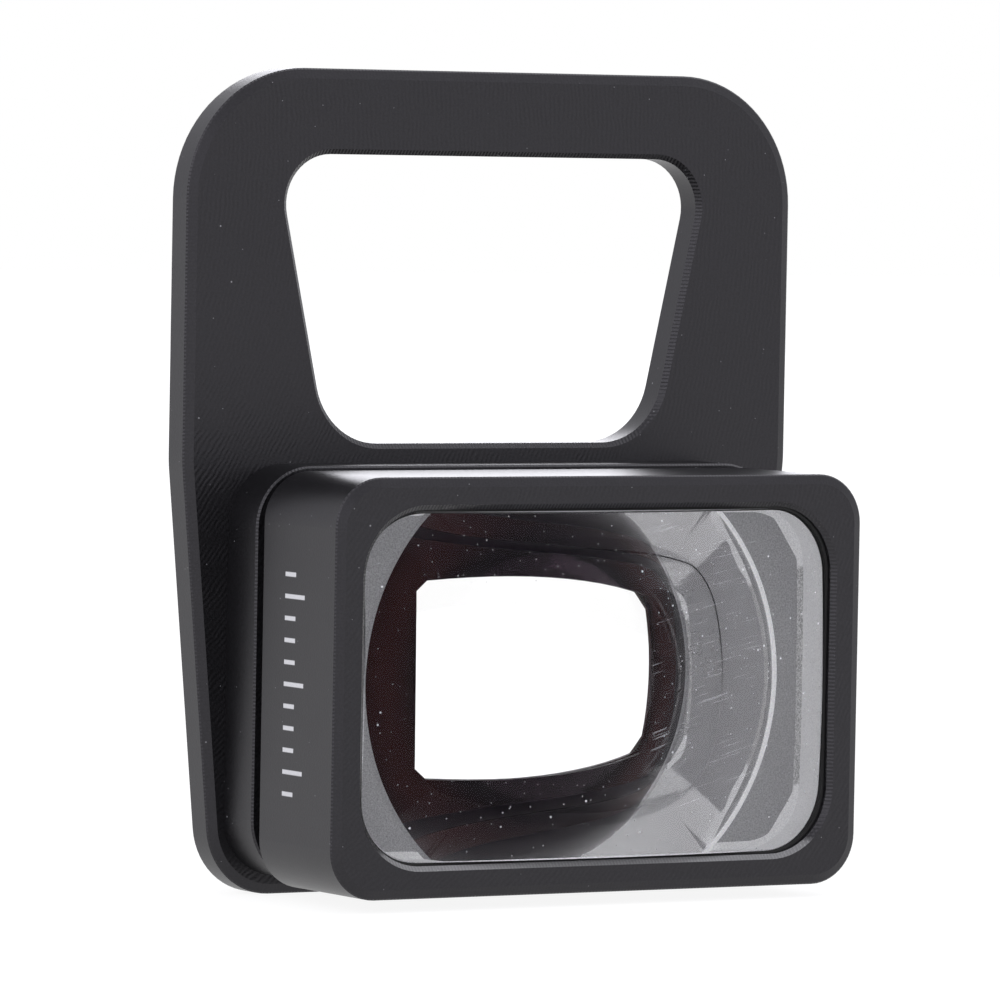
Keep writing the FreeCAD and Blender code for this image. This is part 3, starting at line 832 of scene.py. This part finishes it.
def dress_nodes():
    anodised = black_anodised()
    inside = inside_black()
    rubber_black = rubber("black_rubber", level=0.014)
    bead = rubber("sealing_bead", level=0.006)
    plastic = moulded_plastic()
    screw = rolled_steel("black_screw_steel", level=0.06, rough_level=0.34)
    spring = rolled_steel("spring_steel", level=0.62, rough_level=0.24)
    soft_foam = foam()
    finishes = {
        "mount_plate": anodised,
        "lens_housing": anodised,
        "front_bond": bead,
        "front_lens_seat": inside,
        "light_baffle": inside,
        "rear_cell": inside,
        "rear_lens_shim": inside,
        "groove_gasket": rubber_black,
        "rear_light_seal": rubber_black,
        "box_screws": screw,
        "rear_frame": plastic,
        "rear_frame_screws": screw,
        "left_spring_clip": spring,
        "right_spring_clip": spring,
        "clip_screws": screw,
        "upper_cushion": soft_foam,
        "middle_cushion": soft_foam,
    }
    for node, finish in finishes.items():
        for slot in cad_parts[node].material_slots:
            slot.material = finish
    for node in MILLED_NODES:
        soften_edges(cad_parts[node])


def soften_edges(piece):
    bevel = piece.modifiers.new("edge_round", "BEVEL")
    bevel.width = EDGE_ROUND * MM
    bevel.segments = EDGE_ROUND_SEGMENTS
    bevel.limit_method = "ANGLE"
    bevel.angle_limit = EDGE_ROUND_ANGLE
    bevel.harden_normals = True


# Room light, by its direction: a little dimmer in front, full behind and above, and slightly cool
COOL_LIGHT = (0.95, 0.95, 1.0)
ROOM_DEPTH = (-0.7, 0.15, 0.86, 1.0)
ROOM_CEILING = (0.35, 0.75)


def make_world():
    """The room: plain white where it is seen straight or through glass."""
    world = bpy.data.worlds.new("studio")
    bpy.context.scene.world = world
    finish = Finish(world, "OutputWorld")
    _, y, z = finish.parts(finish.node("TexCoord", output="Generated"))
    room = y.rise(*ROOM_DEPTH).highest(z.rise(*ROOM_CEILING))
    seen = finish.node("LightPath", output="Is Camera Ray").highest(
        finish.node("LightPath", output="Is Transmission Ray"))
    colour = finish.blend(seen, rgb(*COOL_LIGHT), WHITE)
    finish.finished(finish.node("Background", None, {"Color": colour, "Strength": room.highest(seen)}))


# Pale floor, in metres
FLOOR_HALF = 1.5
FLOOR_GREY = rgb(0.82, 0.82, 0.82)
FLOOR_GLOW = 1.12
FLOOR_GLOW_SHARE = 0.8


def make_floor():
    """Floor that keeps the object's shadow, and is otherwise white where it is seen or mirrored."""
    finish = new_finish("floor")
    kinds = [finish.node("LightPath", output=kind)
             for kind in ("Is Camera Ray", "Is Glossy Ray", "Is Transmission Ray")]
    share = kinds[0].highest(kinds[1]).highest(kinds[2]) * FLOOR_GLOW_SHARE
    diffuse = finish.node("BsdfDiffuse", None, {"Color": FLOOR_GREY})
    glow = finish.node("Emission", None, {"Color": WHITE, "Strength": FLOOR_GLOW})
    mesh = bpy.data.meshes.new("floor")
    corners = [(x * FLOOR_HALF, y * FLOOR_HALF, 0) for x, y in ((-1, -1), (1, -1), (1, 1), (-1, 1))]
    mesh.from_pydata(corners, [], [(0, 1, 2, 3)])
    mesh.materials.append(finish.finished(finish.mix(share, diffuse, glow)))
    added("floor", mesh)


# Soft square lamps: place and size in metres, and power in watts
LAMPS = {
    "left_lamp": ((-0.9, -0.25, 0.5), 0.7, 3.4),
    "top_lamp": ((0.45, -0.05, 0.85), 0.8, 2.6),
    "front_lamp": ((0.5, -0.9, 0.35), 0.6, 0.6),
    "window_lamp": ((-0.5, -0.85, 0.3), 0.7, 1.5),
    "back_lamp": ((0.5, 0.8, 0.34), 0.5, 2.5),
}
LAMP_TARGET = Vector((0.0, 0.0, 0.02))


def make_lamps():
    for name, (place, size, power) in LAMPS.items():
        data = bpy.data.lights.new(name, "AREA")
        data.shape = "SQUARE"
        data.size = size
        data.energy = power
        data.color = COOL_LIGHT
        lamp = added(name, data)
        lamp.location = place
        lamp.rotation_euler = (LAMP_TARGET - Vector(place)).to_track_quat("-Z", "Y").to_euler()


# Camera, from the outlines of the plate and the box in the photograph: degrees, millimetres and pixels
CAMERA_AZIMUTH = 31.0
CAMERA_HEIGHT_ANGLE = 2.622
CAMERA_ROLL = 1.049
CAMERA_DISTANCE = 421.943
CAMERA_TARGET = Vector((0.535, 3.2179, 19.966))
CAMERA_NEAREST = 10.0
FOCAL_PIXELS = 8179.379
IMAGE_PIXELS = 1000.0
SENSOR = 36.0


def make_camera():
    azimuth = math.radians(CAMERA_AZIMUTH)
    height = math.radians(CAMERA_HEIGHT_ANGLE)
    roll = math.radians(CAMERA_ROLL)
    back = Vector((-math.sin(azimuth) * math.cos(height), -math.cos(azimuth) * math.cos(height),
                   math.sin(height)))
    level_right = Vector((0, 0, 1)).cross(back).normalized()
    level_up = back.cross(level_right)
    right = level_right * math.cos(roll) + level_up * math.sin(roll)
    up = level_up * math.cos(roll) - level_right * math.sin(roll)
    data = bpy.data.cameras.new("camera")
    data.sensor_width = SENSOR
    data.lens = SENSOR * FOCAL_PIXELS / IMAGE_PIXELS
    data.clip_start = CAMERA_NEAREST * MM
    camera = added("camera", data)
    place = (CAMERA_TARGET + back * CAMERA_DISTANCE) * MM
    camera.matrix_world = Matrix.Translation(place) @ Matrix((right, up, back)).transposed().to_4x4()
    bpy.context.scene.camera = camera


make_camera()
make_world()
make_floor()
make_lamps()
bpy.context.scene.view_settings.view_transform = "Standard"
dress_nodes()
make_glasses()
